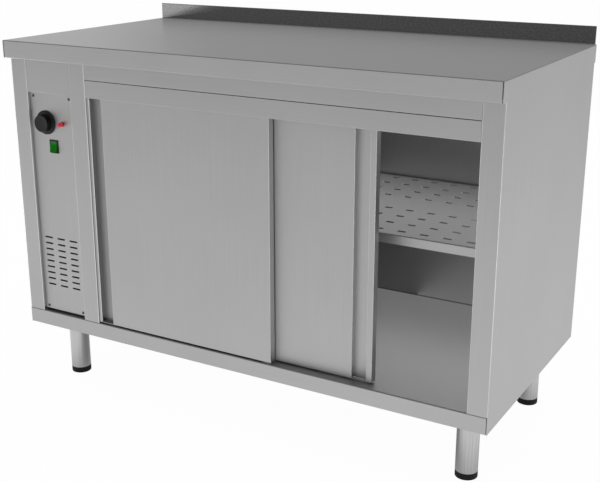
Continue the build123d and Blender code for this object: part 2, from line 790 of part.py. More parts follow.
# Finned strip heater in the air duct, on two terminal studs in ceramic bushes
strip_x = chamber_x + BAFFLE_D / 2
strip_z = (strip_z0 + strip_z1) / 2
heater = Pos(strip_x, fan_y, strip_z) * Box(STRIP_T, STRIP_W, STRIP_L)
fins = int((STRIP_L - 2 * TERMINAL_IN) / FIN_PITCH) + 1
for number in range(fins):
    fin_z = strip_z + (number - (fins - 1) / 2) * FIN_PITCH
    heater += Pos(strip_x, fan_y, fin_z) * Box(FIN_D, FIN_W, FIN_T)
bushes = []
for terminal_z in terminal_zs:
    heater += run_x(hexagon(TERMINAL_R, fan_y, terminal_z), strip_x - TERMINAL_L, strip_x)
    bush_x = (chamber_x - SHEET / 2 - CERAMIC_L / 2, chamber_x - SHEET / 2 + CERAMIC_L / 2)
    bush = run_x(hexagon(CERAMIC_R, fan_y, terminal_z), *bush_x)
    bushes.append(bush - run_x(hexagon(TERMINAL_R + CERAMIC_PLAY, fan_y, terminal_z), *bush_x))
save("heating_element", heater)
save("heater_bushes", *bushes)

# Fan motor on the compartment side of the partition wall: stack with the shaft's bearing, coil and bracket
wall_back = chamber_x - SHEET
strap_x = wall_back - STACK_OFF - BRACKET_T
stack_x = strap_x - STACK_T
stack_y = (fan_y - STACK_W / 2, fan_y + STACK_W / 2)
stack_top = fan_z + STACK_TOP
stack_low = stack_top - STACK_H
window_y = (stack_y[0] + STACK_LIMB, stack_y[1] - STACK_LIMB)
stack = block(stack_x, strap_x, *stack_y, stack_low, stack_top)
stack -= run_x(disc(SHAFT_R + SHAFT_FIT, fan_y, fan_z), stack_x, strap_x)
stack -= block(stack_x, strap_x, *window_y, stack_low + STACK_LIMB, fan_z - STACK_TOP)
save("fan_motor_stack", stack)
coil_x = (stack_x + strap_x) / 2
coil_z = stack_low + STACK_LIMB / 2
coil = Pos(coil_x, fan_y, coil_z) * Box(COIL_W, COIL_L, COIL_H)
coil -= Pos(coil_x, fan_y, coil_z) * Box(STACK_T, COIL_L, STACK_LIMB)
save("fan_motor_coil", coil)
post_x0 = strap_x + BRACKET_T
bracket = block(strap_x, post_x0, *stack_y, fan_z - BRACKET_H / 2, fan_z + BRACKET_H / 2)
for post_y in (stack_y[0], stack_y[1] - POST_W):
    bracket += block(post_x0, wall_back, post_y, post_y + POST_W, fan_z - POST_W / 2, fan_z + POST_W / 2)
bracket -= run_x(hexagon(SHAFT_HOLE, fan_y, fan_z), strap_x, post_x0)
save("fan_motor_bracket", bracket)

# Fan impeller: back plate with radial blades, on the shaft that runs in the motor
fan_x0 = chamber_x + FAN_GAP
fan_x1 = fan_x0 + FAN_W
impeller = run_x(disc(FAN_R, fan_y, fan_z), fan_x0, fan_x0 + FAN_PLATE)
impeller += run_x(disc(SHAFT_R, fan_y, fan_z), stack_x, fan_x1)
for blade in range(FAN_BLADES):
    vane = block(fan_x0, fan_x1, -BLADE_T / 2, BLADE_T / 2, FAN_EYE, FAN_R - FAN_PLATE)
    impeller += Pos(0, fan_y, fan_z) * Rot(360 / FAN_BLADES * blade, 0, 0) * vane
save("fan_impeller", impeller)

# Mains terminal block on the compartment floor
block_x = -wall_x + BLOCK_SIDE
block_y = body_front + BLOCK_FRONT
terminal = Pos(block_x, block_y, floor_z) * Box(BLOCK_W, BLOCK_D, BLOCK_H, align=LOW)
for way in range(BLOCK_WAYS):
    way_x = block_x + (way - (BLOCK_WAYS - 1) / 2) * BLOCK_PITCH
    well = Box(BLOCK_WELL_W, BLOCK_WELL_W, BLOCK_WELL, align=LOW)
    terminal -= Pos(way_x, block_y, floor_z + BLOCK_H - BLOCK_WELL) * well
save("terminal_block", terminal)

# Cable gland in the back panel
gland_out = back_y + SHEET
gland_end = gland_out + GLAND_NUT_T + GLAND_DOME
gland = run_y(hexagon(GLAND_R, gland_x, gland_z), back_y - GLAND_TAIL, gland_out)
gland += run_y(hexagon(GLAND_NUT_R, gland_x, gland_z), gland_out, gland_out + GLAND_NUT_T)
gland += run_y(disc(GLAND_R, gland_x, gland_z), gland_out + GLAND_NUT_T, gland_end)
save("cable_gland", gland - rod_y(GLAND_BORE, back_y - GLAND_TAIL, gland_end, gland_x, gland_z))

# Slotted shelf: pan with its flanges down, slots on a square grid, none along the stiffener
shelf_x0 = baffle_x + SHELF_PLAY
shelf_x1 = wall_x - SHELF_PLAY
shelf_y1 = back_y - SHELF_PLAY
shelf_w = shelf_x1 - shelf_x0
shelf_mid = ((shelf_x0 + shelf_x1) / 2, shelf_y1 - SHELF_DEPTH / 2)
columns = int((shelf_w - 2 * HOLE_EDGE) / HOLE_PITCH) + 1
rows = int((SHELF_DEPTH - 2 * HOLE_EDGE) / HOLE_PITCH) + 1
punch = Box(HOLE_W, HOLE_D, 4 * SHEET)
holes = []
for column in range(columns):
    for row in range(rows):
        if row != rows // 2:
            hole_x = shelf_mid[0] + (column - (columns - 1) / 2) * HOLE_PITCH
            hole_y = shelf_mid[1] + (row - rows // 2) * HOLE_PITCH
            holes.append(Pos(hole_x, hole_y, shelf_z) * punch)
shelf = Pos(*shelf_mid, shelf_z) * Rot(180, 0, 0) * pan(shelf_w, SHELF_DEPTH, SHELF_FLANGE, SHEET, BEND)
save("shelf", shelf - holes)
shelf_under = shelf_z - SHEET
section = hat(shelf_mid[1], shelf_under, SHELF_HAT_W, SHELF_HAT_H, HAT_FLANGE, SHEET)
save("shelf_stiffener", run_x(section, shelf_x0 + HAT_END, shelf_x1 - HAT_END))

# Shelf bearers: angles on the air baffle and on the right side panel
bearer_z = shelf_z - SHELF_FLANGE
bearer_y = (baffle_y0 + BEARER_END, baffle_y1 - BEARER_END)
for name, wall, inward, side in (("left", baffle_x, 1, Side.LEFT), ("right", wall_x, -1, Side.RIGHT)):
    bearer_line = [(wall + inward * BEARER_LEG, bearer_z), (wall, bearer_z), (wall, bearer_z - BEARER_LEG)]
    save(f"{name}_shelf_bearer", run_y(folded(bearer_line, SHEET, side), *bearer_y))
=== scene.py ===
"""Looks of the hot food table: satin stainless sheet, its controls and feet, a white studio and the camera.

Metres, X to the right, Y to the back, Z up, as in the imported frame.
"""

import json
import math

import bpy
import numpy as np
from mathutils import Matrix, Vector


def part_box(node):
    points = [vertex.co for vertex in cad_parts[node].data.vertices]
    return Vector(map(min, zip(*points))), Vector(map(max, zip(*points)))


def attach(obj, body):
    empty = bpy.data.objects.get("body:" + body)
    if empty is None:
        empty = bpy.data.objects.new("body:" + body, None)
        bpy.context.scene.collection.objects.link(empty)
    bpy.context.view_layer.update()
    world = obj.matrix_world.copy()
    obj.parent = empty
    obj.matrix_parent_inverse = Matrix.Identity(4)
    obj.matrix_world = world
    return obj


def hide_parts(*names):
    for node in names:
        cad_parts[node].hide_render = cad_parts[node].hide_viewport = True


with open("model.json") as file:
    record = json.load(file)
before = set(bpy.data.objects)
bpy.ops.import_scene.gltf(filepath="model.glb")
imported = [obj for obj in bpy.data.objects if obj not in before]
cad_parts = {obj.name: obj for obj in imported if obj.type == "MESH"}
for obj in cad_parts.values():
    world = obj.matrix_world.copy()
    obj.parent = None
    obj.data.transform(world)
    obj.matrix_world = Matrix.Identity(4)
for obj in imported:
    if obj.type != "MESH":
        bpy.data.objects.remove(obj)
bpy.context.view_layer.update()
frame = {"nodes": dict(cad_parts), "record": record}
nodes = frame["nodes"]

# Camera
CAMERA_AT = (1.1974, -2.0396, 1.1332)
CAMERA_AZIMUTH = math.radians(30.116)
CAMERA_ELEVATION = math.radians(17.662)
CAMERA_LENS = 62.33
CAMERA_REACH = 200.0
SENSOR = 36.0

# Studio
FLOOR_HALF = 30.0
FLOOR_DROP = 0.0006
FLOOR_TONE = 0.88
FLOOR_WHITE = 0.975
AMBIENT = 0.66
WALL_FRONT = 0.22
WALL_BACK = 0.43
WALL_LEFT = 0.92
CEILING = 0.4
LAMP_AT = (-0.4, 0.4, 3.2)
LAMP_SIDE = 3.0
LAMP_POWER = 45.0

# Floor as metal sees it: its own light, what pools of light add and what shades take away
FLOOR_GLOSS = 0.9
POOL_RIGHT = 2.0
POOL_LEFT = 2.5
POOL_FAR = 1.2
POOL_FAR_SLANT = 0.375
POOL_FAR_CORE = 0.8
SHADE_FAR = 0.2
SHADE_SLANTED = 0.35
SHADE_SLANT = 0.74
SHADE_CORNER = 0.2
SHADE_UNDER = 0.62
SHADE_BEHIND = 0.1

# Fill lamps in the cupboard: name, reach across, reach up or in depth, radiance, and the node that it lies on
FILL_GAP = 0.001
WALL_FILLS = (
    ("upper", (-0.33, 0.57), (0.62, 0.80), 0.80),
    ("shelf", (-0.33, 0.57), (0.505, 0.62), 0.18),
    ("middle", (-0.1, 0.57), (0.415, 0.48), 1.95),
    ("low", (-0.1, 0.57), (0.29, 0.415), 0.22),
    ("lower", (0.08, 0.57), (0.191, 0.29), 0.25),
)
DOOR_FILLS = (
    ("upper", (-0.33, 0.32), (0.505, 0.80), 0.06),
    ("lower", (-0.33, 0.32), (0.20, 0.47), 0.01),
)
LEVEL_FILLS = (
    ("shelf", (0.07, 0.57), (0.15, 0.27), 0.12, "shelf"),
    ("floor_left", (-0.1, 0.2), (-0.05, 0.2785), 0.04, "base_tray"),
    ("floor_right", (0.2, 0.55), (-0.05, 0.2785), 0.24, "base_tray"),
)

# Steel: tones from 0 to 1, pitches of the noise per metre
SATIN = 0.54
SATIN_ROUGH = 0.46
MILL = 0.40
MILL_ROUGH = 0.32
TUBE = 0.565
TUBE_ROUGH = 0.24
TUBE_LINES = 320.0
TUBE_CONTRAST = 0.1
SHEET_LINES = 900.0
SHEET_CONTRAST = 0.04
GRAIN_LENGTH = 4.0
GRAIN_RELIEF = 0.04
CLOUDS = 3.5
LINE_SHARE = 0.6
GLOSS_LINES = 0.04
GLOSS_CLOUDS = 0.02

# Bends of the steel: tones of their painted highlight and painted shade, then the spans over which a normal
# or a place comes to count as one
BEND_HIGHLIGHT = 0.8
BEND_HIGHLIGHT_RIGHT = 0.56
FRONT_BEND_SHADE = 0.2
FRONT_BEND_SHADE_INSIDE = 0.4
OFF_AXES = (1.05, 1.3)
LEANS = (0.1, 0.3)
LOOKS_RIGHT = (0.0, 0.2)
LOOKS_BACK = (0.3, 0.6)
RIGHT_HALF = (-0.3, 0.0)
FRONT_HALF = (0.1, 0.15)

# Painted shade in the grip of the left door: tone share, reach from the leaf's edge and depth behind its face
GRIP_SHADE = 0.78
GRIP_REACH = 0.06
GRIP_DEPTH = 0.0012
GRIP_BLEND = 0.001

# Worktop: its lips, then its top and its upstand as (height, tone share, roughness, metal, speckle); the tone
# shares are painted shade, which makes the top and the upstand darker than the lips
UPSTAND_H = 0.04
TOP_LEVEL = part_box("worktop")[1][2] - UPSTAND_H
WORKTOP = 0.535
WORKTOP_ROUGH = 0.45
WORKTOP_METAL = 0.75
WORKTOP_TOP = (TOP_LEVEL - 0.0025, 0.505, 0.3, 0.38, 0.02)
WORKTOP_UPSTAND = (TOP_LEVEL + 0.0005, 0.44, 0.04, 1.0, 0.17)
ZONE_BLEND = 0.002
SPECKLE = 320.0
SPECKLE_STRETCH = (0.6, 1.0, 1.0)

# Mouldings and small metal
EVEN = (1.0, 1.0, 1.0)
NOISE_SPAN = (0.3, 0.7)
PORES = 900.0
DRIFT = 60.0
FLECKS = 350.0
FLECK_DEPTH = 0.0002
RELIEF = 0.1
RELIEF_DEPTH = 0.0001
GLOSS_GRAIN = 0.1
DARKER = 0.85
LIGHTER = 1.12
METAL_LIGHTER = 1.1
BLACK = (0.009, 0.009, 0.0092)
BLACK_ROUGH = 0.4
BLACK_SHINE = 0.35
# Painted shade on the side of the knob's grip: its tone, and the blend at its edges
SHADED = 0.001
SHADE_EDGE = 0.0006
KEY_GREEN = (0.0015, 0.115, 0.0015, 1.0)
# Painted highlight on the key: its colour, and the share of the key's height where it starts
KEY_PAINTED_HIGHLIGHT = (0.05, 0.12, 0.058, 1.0)
KEY_PAINTED_HIGHLIGHT_FROM = 0.62
KEY_ROUGH = 0.25
KEY_GLOW = 0.35
KEY_SHINE = 0.08


# Shader wiring


class Wire:
    """A node tree, or one socket in it. Arithmetic on a socket adds Math nodes to its tree."""

    def __init__(self, tree, socket=None):
        self.tree = tree
        self.socket = socket

    def node(self, kind, settings=None, sockets=None, out=0):
        """Adds a node, sets its settings, fills its sockets with values or wires, and gives one output."""
        made = self.tree.nodes.new(kind)
        for name, value in (settings or {}).items():
            setattr(made, name, value)
        for name, value in (sockets or {}).items():
            if isinstance(value, Wire):
                self.tree.links.new(value.socket, made.inputs[name])
            else:
                made.inputs[name].default_value = value
        return Wire(self.tree, made.outputs[out] if len(made.outputs) else None)

    def math(self, operation, *values):
        return self.node("ShaderNodeMath", {"operation": operation}, dict(enumerate(values)))

    def __add__(self, other):
        return self.math("ADD", self, other)

    def __sub__(self, other):
        return self.math("SUBTRACT", self, other)

    def __rsub__(self, other):
        return self.math("SUBTRACT", other, self)

    def __mul__(self, other):
        return self.math("MULTIPLY", self, other)

    def __gt__(self, other):
        return self.math("GREATER_THAN", self, other)

    __radd__ = __add__
    __rmul__ = __mul__

    def size(self):
        return self.math("ABSOLUTE", self)

    def step(self, start, end):
        """0 below start and 1 above end, with a soft rise between."""
        sockets = {"Value": self, "From Min": start, "From Max": end}
        return self.node("ShaderNodeMapRange", {"interpolation_type": "SMOOTHSTEP"}, sockets)

    def within(self, rise, fall):
        """1 between a rise and a fall, each a start and an end, and 0 outside them."""
        return self.step(*rise) * (1 - self.step(*fall))

    def drawn_out(self):
        """Noise, which keeps near its middle, drawn out to the whole of 0 to 1."""
        return self.step(*NOISE_SPAN)

    def blend(self, first, second):
        """The first colour where this wire is 0 and the second where it is 1."""
        settings = {"data_type": "RGBA"}
        return self.node("ShaderNodeMix", settings, {0: self, 6: first, 7: second}, out=2)


def tree_of(block):
    """Empty node tree of a material or a world."""
    block.use_nodes = True
    block.node_tree.nodes.clear()
    return Wire(block.node_tree)


def new_material(name):
    """A material and its empty node tree."""
    material = bpy.data.materials.new(name)
    return material, tree_of(material)


def surface(tree, shader):
    tree.node("ShaderNodeOutputMaterial", sockets={"Surface": shader})


def finish_with(tree, sockets):
    """Surface of one Principled shader."""
    surface(tree, tree.node("ShaderNodeBsdfPrincipled", sockets=sockets))


def split(tree, vector):
    """X, Y and Z of a vector."""
    return [tree.node("ShaderNodeSeparateXYZ", sockets={0: vector}, out=axis) for axis in "XYZ"]


def object_place(tree):
    return tree.node("ShaderNodeTexCoord", out="Object")


def face_turn(tree):
    """X, Y and Z of a face's normal, from the attribute facing."""
    return split(tree, tree.node("ShaderNodeAttribute", {"attribute_name": "facing"}, out="Vector"))


def ray_kinds(tree):
    """1 on rays from the camera, and 1 on glossy rays."""
    return [tree.node("ShaderNodeLightPath", out=f"Is {kind} Ray") for kind in ("Camera", "Glossy")]


def object_noise(tree, stretch, scale, detail=2.0):
    """Noise on Object coordinates, stretched along the axes."""
    spread = tree.node("ShaderNodeMapping", sockets={"Vector": object_place(tree), "Scale": stretch})
    return tree.node("ShaderNodeTexNoise", sockets={"Vector": spread, "Scale": scale, "Detail": detail})


def relief(tree, height, strength, depth=RELIEF_DEPTH):
    """Normal of a surface with small relief."""
    return tree.node("ShaderNodeBump", sockets={"Strength": strength, "Distance": depth, "Height": height})


def wander(rough, noise, reach):
    """Roughness that wanders with noise over a reach."""
    return rough - reach / 2 + noise * reach


def grey(tone):
    return (tone, tone, tone, 1.0)


def tinted(colour, share):
    """A colour times a share, at most white."""
    return tuple(min(1.0, channel * share) for channel in colour) + (1.0,)


def tones(mask, tone, contrast):
    """Grey of a tone, darker by a contrast where a mask is 0 and lighter by it where the mask is 1."""
    return mask.blend(grey(tone * (1 - contrast)), grey(tone * (1 + contrast)))


# Finishes


def raised_zones(tree, zones, tone, rough, tint, gloss, metal):
    """Tint, gloss and metal of a sheet with painted shade, another roughness and another metal over some
    heights, but not on its back.

    A zone is (height, tone share, roughness, metal, speckle).
    """
    tall = split(tree, object_place(tree))[2]
    ahead = 1 - face_turn(tree)[1].step(*LOOKS_BACK)
    speckle = object_noise(tree, SPECKLE_STRETCH, SPECKLE, 1.0).drawn_out()
    for height, share, smooth, bare, spread in zones:
        high = tall.step(height, height + ZONE_BLEND) * ahead
        # Painted shade: the zone's tone share darkens it, as on the worktop's top and upstand
        tint = high.blend(tint, tones(speckle, tone * share, spread))
        gloss = gloss + (smooth - rough) * high
        metal = metal + (bare - metal) * high
        rough = smooth
    return tint, gloss, metal


def grip_tint(tree, tint, shade):
    """Tint of the left door, with painted shade in its grip: left of a reach across and behind a depth."""
    left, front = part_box("left_door")[0][:2]
    reach = left + GRIP_REACH
    depth = front + GRIP_DEPTH
    across, deep = split(tree, object_place(tree))[:2]
    inside = (1 - across.step(reach - GRIP_BLEND, reach)) * deep.step(depth, depth + GRIP_BLEND)
    return inside.blend(tint, shade)


def bend_tint(tree, tint, front_bend_shade):
    """Tint of a folded sheet: upright bends get a painted highlight, front bends that face up get painted
    shade.

    The sizes of a normal's X, Y and Z add up to 1 on a face along the axes, and to more on a bend. The
    painted highlight is dimmer on upright bends that look right on the right half.
    """
    x, y, z = face_turn(tree)
    across, deep = split(tree, object_place(tree))[:2]
    bend = (x.size() + y.size() + z.size()).step(*OFF_AXES)
    upright = bend * (1 - z.size().step(*LEANS))
    right = x.step(*LOOKS_RIGHT) * across.step(*RIGHT_HALF)
    # Painted highlight on upright bends, dimmer on those that look right on the right half
    tint = upright.blend(tint, right.blend(grey(BEND_HIGHLIGHT), grey(BEND_HIGHLIGHT_RIGHT)))
    front = bend * z.step(*LEANS) * (-1 * y).step(*LEANS) * (-1 * deep).step(*FRONT_HALF)
    # Painted shade on front bends that face up
    return front.blend(tint, grey(front_bend_shade))


def steel_sheet(
    name,
    tone,
    rough,
    grain,
    pitch=SHEET_LINES,
    contrast=SHEET_CONTRAST,
    metal=1.0,
    shine=0.5,
    front_bend_shade=None,
    zones=(),
    grip=False,
):
    """Rolled and brushed stainless: fine lines along the grain, faint clouds in tone and gloss.

    crease is the tone of the painted shade on its front bends that face up, where it has bends; its upright
    bends get a painted highlight. zones paint shade with a tone share and change its roughness and metal over
    some heights, and grip says that it is the door with painted shade in its grip.
    """
    material, tree = new_material(name)
    lines = object_noise(tree, [GRAIN_LENGTH if axis == grain else pitch for axis in "XYZ"], 1.0, 3.0)
    clouds = object_noise(tree, EVEN, CLOUDS)
    mottle = (lines * LINE_SHARE + clouds * (1 - LINE_SHARE)).drawn_out()
    tint = tones(mottle, tone, contrast)
    gloss = wander(wander(rough, lines, GLOSS_LINES), clouds, GLOSS_CLOUDS)
    if zones:
        tint, gloss, metal = raised_zones(tree, zones, tone, rough, tint, gloss, metal)
    if grip:
        # Painted shade in the left door's grip
        tint = grip_tint(tree, tint, tones(mottle, tone * GRIP_SHADE, contrast))
    if front_bend_shade:
        tint = bend_tint(tree, tint, front_bend_shade)
    finish_with(
        tree,
        {
            "Base Color": tint,
            "Metallic": metal,
            "Roughness": gloss,
            "Specular IOR Level": shine,
            "Normal": relief(tree, lines, GRAIN_RELIEF),
        },
    )
    return material


def moulded(name, colour, rough, glow=0.0, shine=0.5, shaded=None):
    """Moulded plastic: fine spark-eroded grain in the gloss and the surface, and a faint drift in colour.

    shaded gives the depths between which it is painted nearly black, as painted shade.
    """
    material, tree = new_material(name)
    pores = object_noise(tree, EVEN, PORES)
    drift = object_noise(tree, EVEN, DRIFT).drawn_out()
    tint = drift.blend(tinted(colour, DARKER), tinted(colour, LIGHTER))
    # Painted shade: nearly black between the depths that shaded gives
    if shaded:
        front, rear = shaded
        deep = split(tree, object_place(tree))[1]
        side = deep.within((front, front + SHADE_EDGE), (rear - SHADE_EDGE, rear))
        tint = side.blend(tint, grey(SHADED))
    finish_with(
        tree,
        {
            "Base Color": tint,
            "Roughness": wander(rough, pores, GLOSS_GRAIN),
            "Specular IOR Level": shine,
            "Normal": relief(tree, pores, RELIEF),
            "Emission Color": tint,
            "Emission Strength": glow,
        },
    )
    return material


def plain_metal(name, colour, rough):
    """Cast, drawn or pressed metal: flecks in tone and gloss."""
    material, tree = new_material(name)
    flecks = object_noise(tree, EVEN, FLECKS, 4.0)
    finish_with(
        tree,
        {
            "Base Color": flecks.drawn_out().blend(tinted(colour, DARKER), tinted(colour, METAL_LIGHTER)),
            "Metallic": 1.0,
            "Roughness": wander(rough, flecks, GLOSS_GRAIN),
            "Normal": relief(tree, flecks, RELIEF, FLECK_DEPTH),
        },
    )
    return material


def lit_key(name):
    """Translucent green key, glowing from the lamp behind it, with a painted highlight: paler towards the
    top.
    """
    material, tree = new_material(name)
    low, high = (corner[2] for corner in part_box("rocker_key"))
    # Painted highlight: paler towards the top of the key
    top = split(tree, object_place(tree))[2].step(low + KEY_PAINTED_HIGHLIGHT_FROM * (high - low), high)
    tint = top.blend(KEY_GREEN, KEY_PAINTED_HIGHLIGHT)
    finish_with(
        tree,
        {
            "Base Color": tint,
            "Roughness": wander(KEY_ROUGH, object_noise(tree, EVEN, PORES), GLOSS_GRAIN),
            "Specular IOR Level": KEY_SHINE,
            "Emission Color": tint,
            "Emission Strength": KEY_GLOW,
        },
    )
    return material


foot_black = moulded("foot_plastic", (0.014, 0.014, 0.014), 0.55, shine=0.2)
screw_zinc = plain_metal("screw_zinc", (0.16, 0.16, 0.16), 0.35)
satin_upright = steel_sheet("satin_steel_upright", SATIN, SATIN_ROUGH, "Z", front_bend_shade=FRONT_BEND_SHADE)
satin_inside = steel_sheet("satin_steel_inside", SATIN, SATIN_ROUGH, "X", front_bend_shade=FRONT_BEND_SHADE_INSIDE)
satin_left_door = steel_sheet("satin_steel_left_door", SATIN, SATIN_ROUGH, "Z", front_bend_shade=FRONT_BEND_SHADE, grip=True)
satin_worktop = steel_sheet(
    "satin_steel_worktop",
    WORKTOP,
    WORKTOP_ROUGH,
    "X",
    metal=WORKTOP_METAL,
    shine=0.0,
    front_bend_shade=FRONT_BEND_SHADE,
    zones=(WORKTOP_TOP, WORKTOP_UPSTAND),
)
slot_finishes = {
    "satin_steel": steel_sheet("satin_steel_along", SATIN, SATIN_ROUGH, "X", front_bend_shade=FRONT_BEND_SHADE),
    "inner_steel": steel_sheet("inner_steel", MILL, MILL_ROUGH, "Y", front_bend_shade=MILL),
    "leg_steel": steel_sheet("leg_steel", TUBE, TUBE_ROUGH, "Z", pitch=TUBE_LINES, contrast=TUBE_CONTRAST),
    "hanger_steel": plain_metal("hanger_steel", (0.42, 0.42, 0.43), 0.35),
    "black_plastic": moulded("black_plastic", BLACK, BLACK_ROUGH, shine=BLACK_SHINE),
    "white_nylon": moulded("white_nylon", (0.74, 0.74, 0.70), 0.45),
    "stat_case": moulded("stat_case", (0.66, 0.62, 0.53), 0.5),
    "probe_copper": plain_metal("probe_copper", (0.62, 0.33, 0.2), 0.3),
    "red_lens": moulded("red_lens", (0.62, 0.03, 0.06), 0.2, glow=0.2),
    "green_key": lit_key("green_key"),
    "heater_fins": plain_metal("heater_fins", (0.5, 0.5, 0.51), 0.45),
    "white_ceramic": moulded("white_ceramic", (0.82, 0.8, 0.74), 0.2),
    "motor_iron": plain_metal("motor_iron", (0.2, 0.21, 0.23), 0.5),
    "coil_wrap": moulded("coil_wrap", (0.62, 0.42, 0.08), 0.55),
    "fan_alloy": plain_metal("fan_alloy", (0.62, 0.62, 0.63), 0.35),
}
own_finishes = {
    "worktop": satin_worktop,
    "left_door": satin_left_door,
    "base_tray": satin_inside,
    "shelf": satin_inside,
    "left_side_panel": satin_upright,
    "right_side_panel": satin_upright,
    "right_door": satin_upright,
    "middle_post": satin_upright,
    "control_panel": satin_upright,
    "partition_wall": satin_upright,
    "air_baffle": satin_upright,
    "back_panel": satin_upright,
}
for part in frame["record"]["subparts"]:
    finish = own_finishes.get(part["node"], slot_finishes[part["material_slot"]])
    nodes[part["node"]].material_slots[0].material = finish


# Bends and tubes: the facets of rolled and folded metal shade as one round
SHARP = math.radians(35)
EDGE_ROUND = 0.0004
JOIN_GAP = 1e-5
ROUNDED_SLOTS = ("satin_steel", "inner_steel", "leg_steel")
MOULDED_EDGES = ("rocker_switch_housing", "rocker_key", "pilot_lamp_body")
ROUNDED_NODES = MOULDED_EDGES + ("cable_gland",)


def round_shading():
    """Modifier tree that joins a node's loose triangles and shades it smooth over all but its sharp edges.

    Each face's normal is kept as the attribute facing.
    """
    group = bpy.data.node_groups.new("round_shading", "GeometryNodeTree")
    for way in ("INPUT", "OUTPUT"):
        group.interface.new_socket("Geometry", in_out=way, socket_type="NodeSocketGeometry")
    tree = Wire(group)
    shape = tree.node("NodeGroupInput")
    shape = tree.node("GeometryNodeMergeByDistance", sockets={"Geometry": shape, "Distance": JOIN_GAP})
    shape = tree.node("GeometryNodeSetShadeSmooth", {"domain": "FACE"}, {0: shape, 2: True})
    sharp = tree.node("GeometryNodeInputMeshEdgeAngle") > SHARP
    shape = tree.node("GeometryNodeSetShadeSmooth", {"domain": "EDGE"}, {0: shape, 1: sharp, 2: False})
    stored = {"data_type": "FLOAT_VECTOR", "domain": "FACE"}
    sockets = {"Geometry": shape, "Name": "facing", "Value": tree.node("GeometryNodeInputNormal")}
    shape = tree.node("GeometryNodeStoreNamedAttribute", stored, sockets)
    tree.node("NodeGroupOutput", sockets={0: shape})
    return group


rounds = round_shading()
for part in frame["record"]["subparts"]:
    piece = nodes[part["node"]]
    if part["material_slot"] in ROUNDED_SLOTS or part["node"] in ROUNDED_NODES:
        piece.modifiers.new("round_shading", "NODES").node_group = rounds
        if part["node"] in MOULDED_EDGES:
            edge = piece.modifiers.new("edge_round", "BEVEL")
            edge.width = EDGE_ROUND
            edge.segments = 2
            edge.angle_limit = SHARP
        flats = piece.modifiers.new("flat_faces", "WEIGHTED_NORMAL")
        flats.keep_sharp = True


# Turned pieces
UPWARDS = (0, 0, 1)
BACKWARDS = (0, 1, 0)


def grid_faces(rings, around):
    """Quads of a closed band of rings: corner (i, j) joins (i, j + 1), (i + 1, j + 1) and (i + 1, j)."""
    i, j = np.meshgrid(np.arange(rings - 1), np.arange(around), indexing="ij")
    turn = (j + 1) % around
    near = i * around
    far = (i + 1) * around
    return np.stack([near + j, near + turn, far + turn, far + j], axis=-1).reshape(-1, 4)


def turned(name, profile, around, centre, axis, body, material, shape=None):
    """Lathe piece closed by a pole at each end.

    Ring k has radius r[k] and height h[k]: point = centre + r (cos t u + sin t v) + h axis, for t round the
    circle. shape(r, h, t) may change the radius and height arrays, for flutes and slots.
    """
    radius, height = np.array(profile, dtype=float).T
    t = np.linspace(0, 2 * np.pi, around, endpoint=False)
    r, t = np.meshgrid(radius[1:-1], t, indexing="ij")
    h = np.broadcast_to(height[1:-1, None], r.shape)
    if shape:
        r, h = shape(r, h, t)
    axis = np.array(axis, dtype=float)
    u = np.array((1.0, 0.0, 0.0))
    v = np.cross(axis, u)
    band = (r * np.cos(t))[..., None] * u + (r * np.sin(t))[..., None] * v + h[..., None] * axis
    ends = np.outer(height[[0, -1]], axis)
    points = np.concatenate([band.reshape(-1, 3), ends]) + np.array(centre)
    rings = len(radius) - 2
    j = np.arange(around)
    turn = (j + 1) % around
    first, last = rings * around, rings * around + 1
    low = np.stack([np.full(around, first), turn, j], axis=-1)
    top = (rings - 1) * around
    high = np.stack([np.full(around, last), top + j, top + turn], axis=-1)
    faces = grid_faces(rings, around).tolist() + low.tolist() + high.tolist()
    mesh = bpy.data.meshes.new(name)
    mesh.from_pydata(points.tolist(), [], faces)
    mesh.set_sharp_from_angle(angle=SHARP)
    mesh.materials.append(material)
    piece = bpy.data.objects.new(name, mesh)
    bpy.context.collection.objects.link(piece)
    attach(piece, body)
    return piece


def node_box(node):
    """Lowest corner, highest corner and middle of a CAD node at rest."""
    low, high = (np.array(corner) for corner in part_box(node))
    return low, high, (low + high) / 2


# Feet: chamfered round foot with a ribbed plug in the leg tube
FOOT_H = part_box("left_leg_frame")[0][2]
FOOT_AROUND = 64
FOOT_EDGE = 0.0014
FOOT_ROUND = 0.35
FOOT_RIM = 0.0006
PLUG_PLAY = 0.0017
PLUG_RIBS = 6
RIB_RINGS = 4
RIB_DEPTH = 0.0012
RIBS_FROM = 0.002
RIBS_SHORT = 0.001


def foot(corner):
    """Straight foot with a rounded lower edge. Its plug has four rings a rib: two on its radius, two sunk."""
    node = f"foot_{corner}"
    low, high, centre = node_box(node)
    tall = high[2] - low[2]
    radius = (high[0] - low[0]) / 2
    plug = radius - PLUG_PLAY
    rings = RIB_RINGS * PLUG_RIBS
    rib_z = np.linspace(FOOT_H + RIBS_FROM, tall - RIBS_SHORT, rings)
    rib_r = plug - RIB_DEPTH * (np.arange(rings) % RIB_RINGS >= RIB_RINGS / 2)
    profile = [
        (0, 0),
        (radius - FOOT_EDGE, 0),
        (radius - FOOT_EDGE * FOOT_ROUND, FOOT_EDGE * FOOT_ROUND),
        (radius, FOOT_EDGE),
        (radius, FOOT_H - FOOT_RIM),
        (radius - FOOT_RIM, FOOT_H),
        (plug - RIB_DEPTH, FOOT_H),
        *zip(rib_r, rib_z),
        (plug - RIB_DEPTH, tall),
        (0, tall),
    ]
    sole = (centre[0], centre[1], low[2])
    piece = turned(f"dressed_{node}", profile, FOOT_AROUND, sole, UPWARDS, node, foot_black)
    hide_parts(node)


for corner in ("front_left", "front_right", "rear_left", "rear_right"):
    foot(corner)

